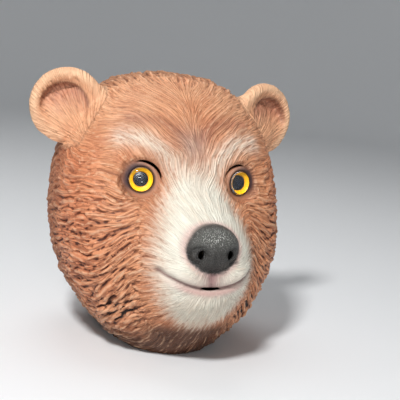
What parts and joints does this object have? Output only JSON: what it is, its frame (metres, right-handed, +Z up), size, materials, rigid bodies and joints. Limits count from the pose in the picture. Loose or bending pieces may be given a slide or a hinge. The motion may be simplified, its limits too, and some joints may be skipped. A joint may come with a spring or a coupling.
{
  "type": "bear mask",
  "caption": "Hollow latex bear-head mask pulled on over the wearer's head, with cast fur, a pale muzzle, round ears, dished yellow eyes and curved vision slits.",
  "frame": {"origin": "middle of the bounding box, on the plane of the neck opening's rim that the mask stands on", "axes": "+Z up through the crown, -Y the way the face looks, +X to the wearer's left"},
  "size_m": [0.334, 0.3026, 0.3118],
  "materials": {
    "latex_skin": "cast latex, airbrushed tan with a cream muzzle and a charcoal nose, satin",
    "eye_iris": "yellow plastic with a dark outer ring, glossy",
    "eye_pupil": "black plastic, glossy",
    "eye_dome": "clear plastic dome, polished"
  },
  "bodies": {
    "root": {"head_skin": "latex_skin", "right_eye_iris": "eye_iris", "left_eye_iris": "eye_iris", "right_eye_pupil": "eye_pupil", "left_eye_pupil": "eye_pupil", "right_eye_dome": "eye_dome", "left_eye_dome": "eye_dome"}
  },
  "joints": []
}
